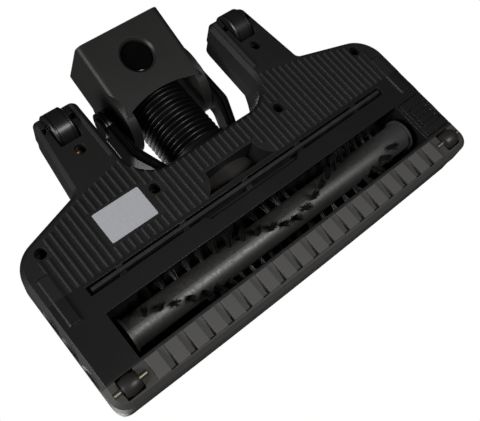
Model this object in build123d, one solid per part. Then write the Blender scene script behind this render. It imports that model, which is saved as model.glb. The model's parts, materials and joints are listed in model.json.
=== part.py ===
from build123d import *
from math import atan2, cos, hypot, radians, sin, sqrt
import os

# Electric floor brush head, millimetres.
# X runs across the head, -Y is its front edge, +Y its neck, and Z is the height above the floor.
# The drive end is at +X and the brush latch at -X.

# Neck and the yoke that carries it, across the head
NECK_HALF = 30.5
CHEEK_X = NECK_HALF - 6.5
YOKE_X = NECK_HALF + 0.7
YOKE_THICKNESS = 7.0

# Plan of the head
HALF_WIDTH = 134.0
FRONT_Y = -92.6
FRONT_BOW = 1.4
FRONT_CORNER = 9.0
REAR_Y_INNER = 19.0
REAR_Y_OUTER = 3.8
REAR_CORNER = 20.0
BAY_Y = 4.5
BAY_CORNER = 19.5
ARM_INNER_X = YOKE_X + YOKE_THICKNESS + 11.8
ARM_OUTER_X = ARM_INNER_X + 29.0
ARM_ROOT_X = ARM_INNER_X + 34.5
ARM_END_Y = 70.0
EDGE_BEVEL = 2.6
WALL = 2.5
COVER_INSET = 0.8
ARM_CORNER = COVER_INSET + WALL + 0.8

# Heights
SOLE_Z = 5.0
SOLE_THICKNESS = 3.0
FLOOR_Z = SOLE_Z + SOLE_THICKNESS
PARTING_Z = 20.0
EAVE_Z = 27.0
BROW_Z = 43.8
CREST_Z = 50.5
SHOULDER_Z = 46.0
SHOULDER_WIDTH = 18.0
ARM_TOP_Z = 32.0
HUMP_R = 27.0
HUMP_FRONT = -34.0
HUMP_BACK = 5.0

# Brush
BRUSH_Y = -60.0
BRUSH_Z = 18.6
CORE_R = 9.2
BRISTLE_R = 18.0
STUB_R = 4.0
BUSH_R = 7.0
FLANGE = 1.6
TUNNEL_R = 21.0
OPENING_HALF = HALF_WIDTH - 24.0
BRUSH_HALF = OPENING_HALF - 3.0
OPENING_BACK = -46.5
OPENING_FRONT = -75.4
TUFT_ROWS = 3
TUFT_PITCH = 8.3
TUFT_R = 0.9
TUFT_END = 12.0
TUFT_SEAT = 0.04
TUFT_TWIST = 1.62
TUFT_APEX_X = -8.0
TUFT_APEX_ANGLE = -26.0
TUFT_APEX_ROUND = 6.0

# Brush latch
LATCH_X = OPENING_HALF + 2.3
LATCH_BACK = -47.6
LATCH_FRONT = -74.0
LATCH_TOP = 28.5
LATCH_GAP = 0.5
LATCH_WALL = 2.7
LATCH_GROOVES = (-57.0, -61.0, -65.0)
LATCH_GROOVE_X = (OPENING_HALF + 6.6, HALF_WIDTH - 5.6)
LATCH_FRAME_X = (OPENING_HALF + 4.8, HALF_WIDTH - 3.8)
LATCH_FRAME_Y = (-69.0, -53.0)
LATCH_FRAME_WIDTH = 0.7

# Drive
BELT_X = OPENING_HALF + 11.0
BELT_WIDTH = 6.0
BELT_THICKNESS = 1.4
BRUSH_PULLEY_R = 9.0
MOTOR_PULLEY_R = 5.0
MOTOR_Y = -14.0
MOTOR_Z = 30.0
MOTOR_R = 12.5
MOTOR_LENGTH = 46.0
MOTOR_END_X = BELT_X - 13.0
MOTOR_WALL = 1.4
MOTOR_NOSE = 4.0
MOTOR_NOSE_R = 5.0
MOTOR_SHAFT_R = 1.6
PULLEY_FLANGE = 1.0

# Wheels and rollers
WHEEL_R = 12.0
WHEEL_X = ARM_INNER_X + 16.5
WHEEL_WIDTH = 12.6
WHEEL_Y = 60.5
WHEEL_AXLE_R = 2.0
ROLLER_X = HALF_WIDTH - 12.7
ROLLER_Y = -83.0
ROLLER_R = 5.6
ROLLER_WIDTH = 9.6
ROLLER_AXLE_R = 1.5
ROLLER_AXLE_HALF = 9.8
ROLLER_CLEAR = 0.6
WHEEL_CLEAR = 1.0
FORK_SLOT = 3.2
RUN_GAP = 0.06

# Sole details
SLOT_BACK = -29.2
SLOT_FRONT = -34.8
SLOT_HALF = OPENING_HALF + 0.5
SLOT_ROOF = 11.5
RAIL_WALL = 1.4
SLOT_WIDE_HALF = 36.0
SLOT_WIDE_FRONT = -37.6
THROAT_BACK = -13.0
THROAT_FRONT = -25.9
THROAT_HALF = 17.7
THROAT_FLARE = 25.0
THROAT_RIM = 1.9
WELL_WALL = 1.6
WELL_ROOF = 22.4
STRIP_THICKNESS = 2.0
STRIP_CLIPS = (-88.0, -40.0, 1.6, 47.0, 89.5)
CLIP_HALF = 2.0
RIB_PITCH = 4.5
RIB_WIDTH = 1.1
RIB_HEIGHT = 1.0
RIB_MARGIN = 2.5
RIB_OUTER_X = HALF_WIDTH - 10.0
RUNNER_X = HALF_WIDTH - 9.5
RUNNER_Y = -27.0
RUNNER_LENGTH = 31.0
RUNNER_WIDTH = 7.0
RUNNER_HEIGHT = 1.2
RUNNER_ROUND = 1.4
RAIL_X = (ARM_INNER_X + 3.2, ARM_INNER_X + 5.4)
RAIL_Y = (27.0, 67.0)
SCALLOPS = (-33.4, -50.2, -67.5)
SCALLOP_HALF = 7.4
SCALLOP_DEPTH = 1.2
SCALLOP_TOP = 16.5
PAD_PITCH = 12.35
PAD_COUNT = round(2 * OPENING_HALF / PAD_PITCH)
PAD_WIDTH = 7.6
PAD_BACK = -77.3
PAD_FRONT = -90.0
SCREWS = [(HALF_WIDTH - 16.0, 0.0), (47.0, -4.1)]
ARM_SCREW = (WHEEL_X - 0.5, 40.0)
SCREW_HEAD_R = 2.9
SCREW_HEAD = 2.0
SCREW_SHANK_R = 1.5
SCREW_HOLE_R = 1.6
COUNTERBORE_R = 3.4
COUNTERBORE_ROOF = 14.0
SCREW_TOP = 29.0
BOSS_R = 5.4
LABEL_X = (52.5, 86.5)
LABEL_Y = (-19.5, 4.0)

# Joint and neck
AXIS_Z = 36.0
PIVOT_Y = 60.0
NECK_TILT = -14.5
RING_R = 23.0
SPIGOT_R = 19.0
SPIGOT_BORE = 16.6
PORT_R = 23.6
DUCT_R = 21.5
DUCT_WALL = 2.0
DUCT_FRONT = HUMP_FRONT
DUCT_BACK = -4.5
RING_FRONT = -4.0
RING_BACK = 10.5
ARM_ROOT_Y = HUMP_BACK + 0.4
YOKE_HALF_HEIGHT = 8.5
YOKE_KNEE_Y = 30.0
YOKE_BEND = 14.0
YOKE_ROOT = 5.0
YOKE_BANDS = ((0.0, 1.7), (3.6, 5.2), (5.9, YOKE_THICKNESS))
YOKE_BAND_DEPTH = 1.9
LOBE_R = 10.0
PIN_R = 5.0
PIN_HEAD = 1.3
LEAD_R = 0.8
HOSE_R = 20.8
HOSE_ROOT_R = 18.6
HOSE_BORE = 16.8
HOSE_PITCH = 3.4
HOSE_BEND = 75.0
NECK_HALF_HEIGHT = 25.2
NECK_LENGTH = 44.0
NECK_EDGE = 4.6
NECK_LIP = 9.0
NECK_ROUND = 9.0
NECK_WALL = 2.8
MOUTH_DIP = 7.0
SOCKET_R = 16.0
SLEEVE_R = 18.0
SLEEVE_START = 11.0
BUTTON_A = 22.5
BUTTON_R = 10.0
BUTTON_GAP = 0.35
BUTTON_SET_BACK = 3.2
BUTTON_HEIGHT = 1.8
BUTTON_LIP = 1.4
CONTACT_HALF = 10.0
CONTACT_DEPTH = 9.0
CONTACT_HEIGHT = 4.4
CONTACT_PIN_R = 1.2

# The whole part is centred on its own box when it is written
TILT = radians(-NECK_TILT)
BACK_Y = PIVOT_Y + NECK_LENGTH * cos(TILT) + NECK_HALF_HEIGHT * sin(TILT)
Y_MID = (BACK_Y + FRONT_Y - FRONT_BOW) / 2


def block(x0, x1, y0, y1, z0, z1):
    return Pos((x0 + x1) / 2, (y0 + y1) / 2, (z0 + z1) / 2) * Box(x1 - x0, y1 - y0, z1 - z0)


def rod_x(x0, x1, y, z, r):
    return Pos((x0 + x1) / 2, y, z) * Rot(0, 90, 0) * Cylinder(r, x1 - x0)


def rod_y(x, y0, y1, z, r):
    return Pos(x, (y0 + y1) / 2, z) * Rot(90, 0, 0) * Cylinder(r, y1 - y0)


def rod_z(x, y, z0, z1, r):
    return Pos(x, y, (z0 + z1) / 2) * Cylinder(r, z1 - z0)


def both_sides(shape):
    return shape + mirror(shape, about=Plane.YZ)


def prism_x(points, x0, x1):
    """A closed outline of (y, z) points, drawn out along X."""
    face = make_face(Polyline(*[(x0, y, z) for y, z in points], close=True))
    return extrude(face, amount=x1 - x0, dir=(1, 0, 0))


def plate(points, z0, z1):
    """A closed outline of (x, y) points, drawn up from z0 to z1."""
    face = make_face(Polyline(*[(x, y, z0) for x, y in points], close=True))
    return extrude(face, amount=z1 - z0, dir=(0, 0, 1))


def head_outline():
    """The head's plan: wheel arms and the neck's bay behind, a slightly bowed front edge."""
    half = [
        (ARM_INNER_X, BAY_Y), (ARM_INNER_X, ARM_END_Y), (ARM_OUTER_X, ARM_END_Y),
        (ARM_ROOT_X, REAR_Y_INNER), (HALF_WIDTH, REAR_Y_OUTER), (HALF_WIDTH, FRONT_Y),
    ]
    other = [(-x, y) for x, y in reversed(half)]
    front = ThreePointArc(half[-1], (0, FRONT_Y - FRONT_BOW), other[0])
    plan = make_face([Polyline(*half), front, Polyline(*other), Line(other[-1], half[0])])
    rounds = (BAY_CORNER, ARM_CORNER, ARM_CORNER, ARM_CORNER, REAR_CORNER, FRONT_CORNER)
    for (x, y), r in zip(half, rounds):
        corners = [v for v in plan.vertices() if hypot(abs(v.X) - x, v.Y - y) < 0.1]
        plan = fillet(corners, r)
    return plan


def between(x, start, end):
    """Height over x of the straight line from start to end."""
    return start[1] + (end[1] - start[1]) * (x - start[0]) / (end[0] - start[0])


def rib_back(x):
    """Where a sole rib starts behind, a little inside the head's outline."""
    x = abs(x)
    bay, flat = BAY_Y - RIB_MARGIN, ARM_INNER_X - BAY_CORNER
    root = (ARM_ROOT_X, REAR_Y_INNER - 1.6 * RIB_MARGIN)
    if x <= flat:
        return bay
    if x < ARM_INNER_X + 1:
        share = (x - flat) / (BAY_CORNER + 1)
        return bay + BAY_CORNER * (1 - sqrt(1 - share ** 2))
    if x < ARM_ROOT_X:
        return between(x, (ARM_INNER_X, bay + BAY_CORNER + 1), root)
    return between(x, root, (HALF_WIDTH, REAR_Y_OUTER - 2.2 * RIB_MARGIN))


def rib_spans(x):
    """The stretches of one rib, broken at the screw holes, the label's bare field and the throat."""
    gaps = []
    for sx, sy in SCREWS:
        reach = COUNTERBORE_R + 1.6
        off = abs(abs(x) - sx)
        if off < reach:
            half = sqrt(reach ** 2 - off ** 2)
            gaps.append((sy - half, sy + half))
    if LABEL_X[0] < x < LABEL_X[1]:
        gaps.append(LABEL_Y)
    front = SLOT_BACK + RIB_MARGIN
    narrow = THROAT_HALF + THROAT_RIM
    if abs(x) < narrow:
        front = THROAT_BACK + THROAT_RIM
    elif abs(x) < THROAT_FLARE + THROAT_RIM:
        front = between(abs(x), (narrow, THROAT_BACK + THROAT_RIM), (THROAT_FLARE + THROAT_RIM, front))
    spans = [(front, rib_back(x))]
    for low, high in gaps:
        cut = []
        for a, b in spans:
            cut += [(a, min(b, low)), (max(a, high), b)]
        spans = cut
    return [(a, b) for a, b in spans if b - a > 2.0]


def sole_ribs():
    """Thin runners over the back of the sole, all along Y."""
    count = int(RIB_OUTER_X / RIB_PITCH)
    ribs = []
    for i in range(-count, count + 1):
        x = i * RIB_PITCH
        for y0, y1 in rib_spans(x):
            ribs.append(block(x - RIB_WIDTH / 2, x + RIB_WIDTH / 2, y0, y1, SOLE_Z - RIB_HEIGHT, SOLE_Z))
    return ribs


def front_comb():
    """Raised pads along the front lip."""
    pads = []
    for i in range(PAD_COUNT):
        x = (i - (PAD_COUNT - 1) / 2) * PAD_PITCH
        pads.append(block(x - PAD_WIDTH / 2, x + PAD_WIDTH / 2, PAD_FRONT, PAD_BACK, SOLE_Z - 1.0, SOLE_Z))
    return pads


def comb_pockets():
    """Wedges between the pads, deepest at the front, which let crumbs in."""
    half = (PAD_PITCH - PAD_WIDTH) / 2
    profile = [(PAD_BACK, SOLE_Z - 0.01), (PAD_FRONT, SOLE_Z - 0.01), (PAD_FRONT, SOLE_Z + 2.2)]
    pockets = []
    for i in range(PAD_COUNT - 1):
        x = (i - (PAD_COUNT - 2) / 2) * PAD_PITCH
        pockets.append(prism_x(profile, x - half, x + half))
    return pockets


def brush_tunnel():
    outer = rod_x(-OPENING_HALF - 2, OPENING_HALF + 2, BRUSH_Y, BRUSH_Z, TUNNEL_R + WALL)
    outer -= block(-200, 200, -200, 200, -50, SOLE_Z)
    return outer


def tunnel_space():
    space = rod_x(-OPENING_HALF, OPENING_HALF, BRUSH_Y, BRUSH_Z, TUNNEL_R)
    return space - block(-200, 200, -200, 200, -50, FLOOR_Z)


def opening_relief():
    """Slope inside the opening's rear edge, which keeps it clear of the bristles."""
    low, high = SOLE_Z + 1.2, FLOOR_Z + 0.6
    edge = OPENING_BACK - 0.1
    return prism_x([(edge, low), (OPENING_BACK + 2.1, high), (edge, high)], -OPENING_HALF, OPENING_HALF)


def roller_pocket(x):
    """Stepped pocket of a front roller, with open grooves for its axle."""
    half = ROLLER_WIDTH / 2 + ROLLER_CLEAR
    reach = ROLLER_R + ROLLER_CLEAR
    groove = ROLLER_AXLE_HALF + 0.2
    pocket = block(x - half, x + half, ROLLER_Y - reach, ROLLER_Y + reach, 0, ROLLER_R + reach)
    pocket += block(x - groove, x + groove, ROLLER_Y - ROLLER_AXLE_R, ROLLER_Y + ROLLER_AXLE_R, 0, ROLLER_R)
    return pocket + rod_x(x - groove, x + groove, ROLLER_Y, ROLLER_R, ROLLER_AXLE_R)


def wheel_pocket(x):
    """Fork of a rear wheel, open behind and below, with slots for the axle."""
    half = WHEEL_WIDTH / 2 + WHEEL_CLEAR
    front = WHEEL_Y - WHEEL_R - 1.8
    slot = half + FORK_SLOT
    pocket = block(x - half, x + half, front, ARM_END_Y + 5, 0, 2 * WHEEL_R + 2 * WHEEL_CLEAR)
    pocket += block(x - slot, x + slot, WHEEL_Y - WHEEL_AXLE_R, WHEEL_Y + WHEEL_AXLE_R, 0, WHEEL_R)
    return pocket + rod_x(x - slot, x + slot, WHEEL_Y, WHEEL_R, WHEEL_AXLE_R)


def fork_blocks():
    """Solid ends of the two arms, which the wheel pockets are cut into."""
    front = WHEEL_Y - WHEEL_R - 1.8 - WALL
    return both_sides(block(ARM_INNER_X - 10, ARM_ROOT_X + 5, front, ARM_END_Y + 10, 0, 60))


def screw_places():
    return [(s * x, y) for x, y in SCREWS for s in (1, -1)]


def arm_screw_places():
    return [(s * ARM_SCREW[0], ARM_SCREW[1]) for s in (1, -1)]


def throat_face(grow):
    """Window under the duct: straight behind, with sides that curve out towards the front."""
    half, flare = THROAT_HALF + grow, THROAT_FLARE + grow
    back, front = THROAT_BACK + grow, THROAT_FRONT - grow
    waist, mid = half + 0.22 * (flare - half), (back + front) / 2
    edges = [
        Line((-half, back), (half, back)),
        ThreePointArc((half, back), (waist, mid), (flare, front)),
        Line((flare, front), (-flare, front)),
        ThreePointArc((-flare, front), (-waist, mid), (-half, back)),
    ]
    return make_face(edges)


def throat_cut():
    return extrude(throat_face(0), amount=WELL_ROOF)


def throat_well():
    """Walls from the window up to the duct's round underside."""
    well = extrude(Pos(0, 0, SOLE_Z) * throat_face(WELL_WALL), amount=WELL_ROOF + WELL_WALL - SOLE_Z)
    return well - rod_y(0, 2 * THROAT_FRONT, 0, AXIS_Z, DUCT_R)


def slot_cut():
    """Long slot of the wiper strip, wider in the middle."""
    half, back, front = SLOT_WIDE_HALF, SLOT_FRONT + 0.5, SLOT_WIDE_FRONT
    middle = plate([(-half, back), (half, back), (half - 3, front), (3 - half, front)], 0, FLOOR_Z)
    return middle + block(-SLOT_HALF, SLOT_HALF, SLOT_FRONT, SLOT_BACK, 0, SLOT_ROOF)


def slot_rail():
    """Walls round the long slot, on the inside of the sole."""
    half, roof = SLOT_HALF + RAIL_WALL, SLOT_ROOF + RAIL_WALL
    return block(-half, half, SLOT_WIDE_FRONT - RAIL_WALL, SLOT_BACK + RAIL_WALL, SOLE_Z, roof)


def roller_block():
    """Solid corner of the shell, which a roller's pocket is cut into."""
    side, reach = ROLLER_AXLE_HALF + 1.4, ROLLER_R + WALL
    y0, y1 = ROLLER_Y - reach, ROLLER_Y + reach
    return block(ROLLER_X - side, ROLLER_X + side, y0, y1, SOLE_Z, 2 * ROLLER_R + WALL)


def latch_space():
    back, front = LATCH_BACK + LATCH_GAP, LATCH_FRONT - LATCH_GAP
    return block(-200, -LATCH_X + LATCH_GAP, front, back, 0, LATCH_TOP + 0.5)


def lower_block(top):
    """The head's outline from the sole up, with its lower edge bevelled."""
    body = extrude(Pos(0, 0, SOLE_Z) * head_outline(), amount=top - SOLE_Z)
    body = chamfer(body.faces().sort_by(Axis.Z)[0].edges(), EDGE_BEVEL)
    return body - side_scallops()


def side_scallops():
    """Shallow finger hollows along both ends, which run out in the bevel below."""
    r = (SCALLOP_HALF ** 2 + SCALLOP_DEPTH ** 2) / (2 * SCALLOP_DEPTH)
    x = HALF_WIDTH - SCALLOP_DEPTH + r
    return [rod_z(side * x, y, 0, SCALLOP_TOP, r) for y in SCALLOPS for side in (1, -1)]


def base_shell():
    """The lower moulding: ribbed sole, walls, wheel forks, brush tunnel and the rail of the wiper strip."""
    plan = head_outline()
    outer = lower_block(PARTING_Z)
    hollow = extrude(Pos(0, 0, FLOOR_Z) * offset(plan, -WALL), amount=PARTING_Z)
    hollow -= fork_blocks()
    shell = outer - hollow
    shell += brush_tunnel()
    shell += slot_rail()
    shell += throat_well()
    shell += both_sides(roller_block()) & outer
    for x, y in screw_places() + arm_screw_places():
        shell += rod_z(x, y, SOLE_Z + 1, PARTING_Z, BOSS_R)
    shell += sole_ribs()
    shell += front_comb()
    shell += both_sides(runner_pad())
    shell += both_sides(block(*RAIL_X, *RAIL_Y, SOLE_Z - RIB_HEIGHT, SOLE_Z))
    shell -= tunnel_space()
    shell -= duct_dome(DUCT_R - DUCT_WALL, DUCT_BACK - DUCT_WALL)
    shell -= block(-OPENING_HALF, OPENING_HALF, OPENING_FRONT, OPENING_BACK, 0, FLOOR_Z + 1)
    shell -= opening_relief()
    shell -= comb_pockets()
    shell -= slot_cut()
    shell -= throat_cut()
    shell += strip_clips()
    for x in (ROLLER_X, -ROLLER_X):
        shell -= roller_pocket(x)
    for x in (WHEEL_X, -WHEEL_X):
        shell -= wheel_pocket(x)
    for x, y in screw_places() + arm_screw_places():
        shell -= rod_z(x, y, 0, COUNTERBORE_ROOF, COUNTERBORE_R)
        shell -= rod_z(x, y, 0, 40, SCREW_HOLE_R)
    shell -= rod_x(OPENING_HALF - 1, OPENING_HALF + 3, BRUSH_Y, BRUSH_Z, BUSH_R)
    shell -= rod_x(-OPENING_HALF - 3, 1 - OPENING_HALF, BRUSH_Y, BRUSH_Z, CORE_R + FLANGE + 1.6)
    shell -= latch_space()
    shell -= rod_y(0, -12, 20, AXIS_Z, PORT_R)
    return shell


def runner_pad():
    """Raised runner at the end of the sole."""
    pad = extrude(RectangleRounded(RUNNER_WIDTH, RUNNER_LENGTH, RUNNER_ROUND), amount=RUNNER_HEIGHT)
    pad = chamfer(pad.faces().sort_by(Axis.Z)[0].edges(), RUNNER_HEIGHT / 2)
    return Pos(RUNNER_X, RUNNER_Y, SOLE_Z - RUNNER_HEIGHT) * pad


def strip_faces():
    mid = (SLOT_BACK + SLOT_FRONT) / 2
    return mid + STRIP_THICKNESS / 2, mid - STRIP_THICKNESS / 2


def strip_clips():
    """Small noses in the long slot that hold the wiper strip."""
    clips = []
    back, front = strip_faces()
    for x in STRIP_CLIPS:
        x0, x1 = x - CLIP_HALF, x + CLIP_HALF
        clips.append(block(x0, x1, back, SLOT_BACK, SOLE_Z + 1, SLOT_ROOF))
        clips.append(block(x0, x1, SLOT_FRONT, front, SOLE_Z + 2, SLOT_ROOF))
    return clips


def cover_profile(drop):
    """Side view of the cover's roof: low over the brush's front, falling behind to the wheel arms."""
    front, rear = FRONT_Y - FRONT_BOW - 1, ARM_END_Y + 1
    eave, brow, crest, arm = EAVE_Z - drop, BROW_Z - drop, CREST_Z - drop, ARM_TOP_Z - drop
    brow_y, crest_y, foot_y = front + 20, BAY_Y - 0.5, BAY_Y + BAY_CORNER + 2
    edges = [
        Line((0, front, PARTING_Z), (0, front, eave)),
        ThreePointArc((0, front, eave), (0, front + 6.5, brow - 5.3), (0, brow_y, brow)),
        ThreePointArc((0, brow_y, brow), (0, (brow_y + crest_y) / 2, crest - 0.9), (0, crest_y, crest)),
        ThreePointArc((0, crest_y, crest), (0, crest_y + 11, (crest + arm) / 2 + 1.3), (0, foot_y, arm)),
        Line((0, foot_y, arm), (0, rear - 9, arm - 1)),
        ThreePointArc((0, rear - 9, arm - 1), (0, rear - 2.5, arm - 3.5), (0, rear, arm - 9)),
        Line((0, rear, arm - 9), (0, rear, PARTING_Z)),
        Line((0, rear, PARTING_Z), (0, front, PARTING_Z)),
    ]
    return make_face(edges)


def cover_shoulders(drop, half):
    """Front view of the cover: rounded shoulders at both ends."""
    eave, shoulder, middle = EAVE_Z - drop, SHOULDER_Z - drop, CREST_Z + 3.5 - drop
    inner = half - SHOULDER_WIDTH
    arc_x, arc_z = half - 0.3 * SHOULDER_WIDTH, eave + 0.65 * (shoulder - eave)
    edges = [
        Line((-half, 0, PARTING_Z), (-half, 0, eave)),
        ThreePointArc((-half, 0, eave), (-arc_x, 0, arc_z), (-inner, 0, shoulder)),
        ThreePointArc((-inner, 0, shoulder), (0, 0, middle), (inner, 0, shoulder)),
        ThreePointArc((inner, 0, shoulder), (arc_x, 0, arc_z), (half, 0, eave)),
        Line((half, 0, eave), (half, 0, PARTING_Z)),
        Line((half, 0, PARTING_Z), (-half, 0, PARTING_Z)),
    ]
    return make_face(edges)


def cover_body(inset, drop):
    """The cover's block: its plan, cut to the side view and to the front view."""
    walls = extrude(Pos(0, 0, PARTING_Z) * offset(head_outline(), -inset), amount=CREST_Z)
    roof = extrude(cover_profile(drop), amount=2 * HALF_WIDTH, dir=(1, 0, 0), both=True)
    shoulders = cover_shoulders(drop, HALF_WIDTH - inset + 0.5)
    ends = extrude(shoulders, amount=2 * HALF_WIDTH, dir=(0, 1, 0), both=True)
    return walls & roof & ends


def cover_hump(r, back):
    """Round hump over the duct's port, with a domed front end."""
    hump = rod_y(0, HUMP_FRONT, back, AXIS_Z, r) + Pos(0, HUMP_FRONT, AXIS_Z) * Sphere(r)
    return hump - block(-60, 60, -90, 60, -10, PARTING_Z)


def top_cover():
    """The upper moulding, with a hump over the duct's port and screw bosses inside."""
    outer = cover_body(COVER_INSET, 0.0)
    arms = outer & fork_blocks()
    shell = outer + cover_hump(HUMP_R, HUMP_BACK)
    shell -= cover_body(COVER_INSET + WALL, WALL)
    shell -= cover_hump(HUMP_R - WALL, HUMP_BACK - WALL)
    shell += arms
    for x, y in screw_places() + arm_screw_places():
        boss = rod_z(x, y, PARTING_Z, 60, BOSS_R - 0.6) & outer
        shell += boss
        shell -= rod_z(x, y, 0, SCREW_TOP + 1, SCREW_HOLE_R)
    for x in (WHEEL_X, -WHEEL_X):
        shell -= wheel_pocket(x)
    shell -= rod_y(0, -4, 20, AXIS_Z, PORT_R)
    shell -= latch_space()
    return shell


def duct_dome(r, back):
    """Round duct with a domed front end, which reaches into the brush tunnel."""
    return rod_y(0, DUCT_FRONT, back, AXIS_Z, r) + Pos(0, DUCT_FRONT, AXIS_Z) * Sphere(r)


def suction_duct():
    """Tube from the brush tunnel to the round spigot that the yoke turns on."""
    wall = DUCT_BACK - DUCT_WALL
    body = duct_dome(DUCT_R, DUCT_BACK) + rod_y(0, wall, RING_BACK - 2, AXIS_Z, SPIGOT_R)
    body -= duct_dome(DUCT_R - DUCT_WALL, wall)
    body -= rod_y(0, wall - 1, RING_BACK, AXIS_Z, SPIGOT_BORE)
    return body - rod_x(-2 * DUCT_R, 2 * DUCT_R, BRUSH_Y, BRUSH_Z, TUNNEL_R + WALL)


def wiper_strip():
    """Soft strip in the long slot, which sweeps the floor behind the brush."""
    back, front = strip_faces()
    return block(2 - SLOT_HALF, SLOT_HALF - 2, front, back, SOLE_Z - 0.8, SLOT_ROOF)


def motor():
    """Motor can on its saddle, with the short nose that its shaft leaves by."""
    end = MOTOR_END_X - MOTOR_NOSE
    can = rod_x(end - MOTOR_LENGTH, end, MOTOR_Y, MOTOR_Z, MOTOR_R)
    nose = rod_x(end, MOTOR_END_X, MOTOR_Y, MOTOR_Z, MOTOR_NOSE_R)
    half = 0.72 * MOTOR_R
    x0, x1 = end - MOTOR_LENGTH + 8, end - 8
    saddle = block(x0, x1, MOTOR_Y - half, MOTOR_Y + half, FLOOR_Z, MOTOR_Z - MOTOR_R / 2)
    inside = rod_x(end - MOTOR_LENGTH + MOTOR_WALL, end - MOTOR_WALL, MOTOR_Y, MOTOR_Z, MOTOR_R - MOTOR_WALL)
    bearing = rod_x(end - 2 * MOTOR_WALL, MOTOR_END_X + 1, MOTOR_Y, MOTOR_Z, MOTOR_SHAFT_R + RUN_GAP)
    return can + nose + saddle - inside - bearing


def motor_rotor():
    """Wound core inside the can, on the shaft that carries the pulley."""
    end = MOTOR_END_X - MOTOR_NOSE - MOTOR_WALL
    core = rod_x(end - MOTOR_LENGTH + 10, end - 4, MOTOR_Y, MOTOR_Z, MOTOR_R - 2 * MOTOR_WALL)
    return core + rod_x(end - MOTOR_LENGTH + 6, BELT_X + BELT_WIDTH / 2, MOTOR_Y, MOTOR_Z, MOTOR_SHAFT_R)


def motor_pulley():
    half = BELT_WIDTH / 2
    pulley = rod_x(BELT_X - half, BELT_X + half, MOTOR_Y, MOTOR_Z, MOTOR_PULLEY_R)
    rim = MOTOR_PULLEY_R + PULLEY_FLANGE + 0.2
    pulley += rod_x(BELT_X + half, BELT_X + half + PULLEY_FLANGE, MOTOR_Y, MOTOR_Z, rim)
    return pulley - rod_x(BELT_X - half, BELT_X + half, MOTOR_Y, MOTOR_Z, MOTOR_SHAFT_R)


def belt_loop(r_motor, r_brush):
    """Open belt outline round both pulleys, from their outer tangents."""
    dy, dz = BRUSH_Y - MOTOR_Y, BRUSH_Z - MOTOR_Z
    span = hypot(dy, dz)
    along = atan2(dz, dy)
    lean = radians(90) + atan2(r_brush - r_motor, sqrt(span ** 2 - (r_brush - r_motor) ** 2))

    def at(y, z, r, angle):
        return (BELT_X, y + r * cos(angle), z + r * sin(angle))

    upper, lower = along - lean, along + lean
    edges = [
        Line(at(MOTOR_Y, MOTOR_Z, r_motor, upper), at(BRUSH_Y, BRUSH_Z, r_brush, upper)),
        ThreePointArc(
            at(BRUSH_Y, BRUSH_Z, r_brush, upper),
            at(BRUSH_Y, BRUSH_Z, r_brush, along),
            at(BRUSH_Y, BRUSH_Z, r_brush, lower),
        ),
        Line(at(BRUSH_Y, BRUSH_Z, r_brush, lower), at(MOTOR_Y, MOTOR_Z, r_motor, lower)),
        ThreePointArc(
            at(MOTOR_Y, MOTOR_Z, r_motor, lower),
            at(MOTOR_Y, MOTOR_Z, r_motor, along + radians(180)),
            at(MOTOR_Y, MOTOR_Z, r_motor, upper),
        ),
    ]
    return extrude(make_face(edges), amount=BELT_WIDTH / 2 - 0.2, dir=(1, 0, 0), both=True)


def drive_belt():
    gap = RUN_GAP
    outer = belt_loop(MOTOR_PULLEY_R + gap + BELT_THICKNESS, BRUSH_PULLEY_R + gap + BELT_THICKNESS)
    return outer - belt_loop(MOTOR_PULLEY_R + gap, BRUSH_PULLEY_R + gap)


def bush(x0, x1):
    return rod_x(x0, x1, BRUSH_Y, BRUSH_Z, BUSH_R) - rod_x(x0, x1, BRUSH_Y, BRUSH_Z, STUB_R + RUN_GAP)


def latch_frame():
    """Engraved line round the finger field."""
    (x0, x1), (y0, y1) = LATCH_FRAME_X, LATCH_FRAME_Y
    w = 2 * LATCH_FRAME_WIDTH
    line = RectangleRounded(x1 - x0, y1 - y0, 2.5) - RectangleRounded(x1 - x0 - w, y1 - y0 - w, 2.5 - w / 2)
    return Pos(-(x0 + x1) / 2, (y0 + y1) / 2, SOLE_Z - 0.1) * extrude(line, amount=0.8)


def brush_latch():
    """End panel that holds the brush and slides out to free it, with a finger field below."""
    panel = lower_block(PARTING_Z - LATCH_GAP)
    panel &= block(-200, -LATCH_X, LATCH_FRONT, LATCH_BACK, 0, PARTING_Z)
    inner = (LATCH_FRONT + 2.0, LATCH_BACK - 2.0)
    carrier = -LATCH_X - LATCH_WALL
    panel -= block(WALL - HALF_WIDTH, carrier, *inner, FLOOR_Z, PARTING_Z + 1)
    panel += block(carrier, -LATCH_X, *inner, SOLE_Z + 2, LATCH_TOP)
    panel -= latch_frame()
    for y in LATCH_GROOVES:
        panel -= block(-LATCH_GROOVE_X[1], -LATCH_GROOVE_X[0], y - 0.8, y + 0.8, SOLE_Z - 0.1, SOLE_Z + 0.9)
    return panel - rod_x(carrier - 1, 1 - LATCH_X, BRUSH_Y, BRUSH_Z, BUSH_R)


def brush_core():
    core = rod_x(-BRUSH_HALF, BRUSH_HALF, BRUSH_Y, BRUSH_Z, CORE_R)
    for x in (-BRUSH_HALF, BRUSH_HALF - FLANGE):
        core += rod_x(x, x + FLANGE, BRUSH_Y, BRUSH_Z, CORE_R + FLANGE)
    return core - rod_x(-BRUSH_HALF, BRUSH_HALF, BRUSH_Y, BRUSH_Z, STUB_R)


def brush_shaft():
    return rod_x(0.2 - LATCH_X - LATCH_WALL, BELT_X + 4, BRUSH_Y, BRUSH_Z, STUB_R)


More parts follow.
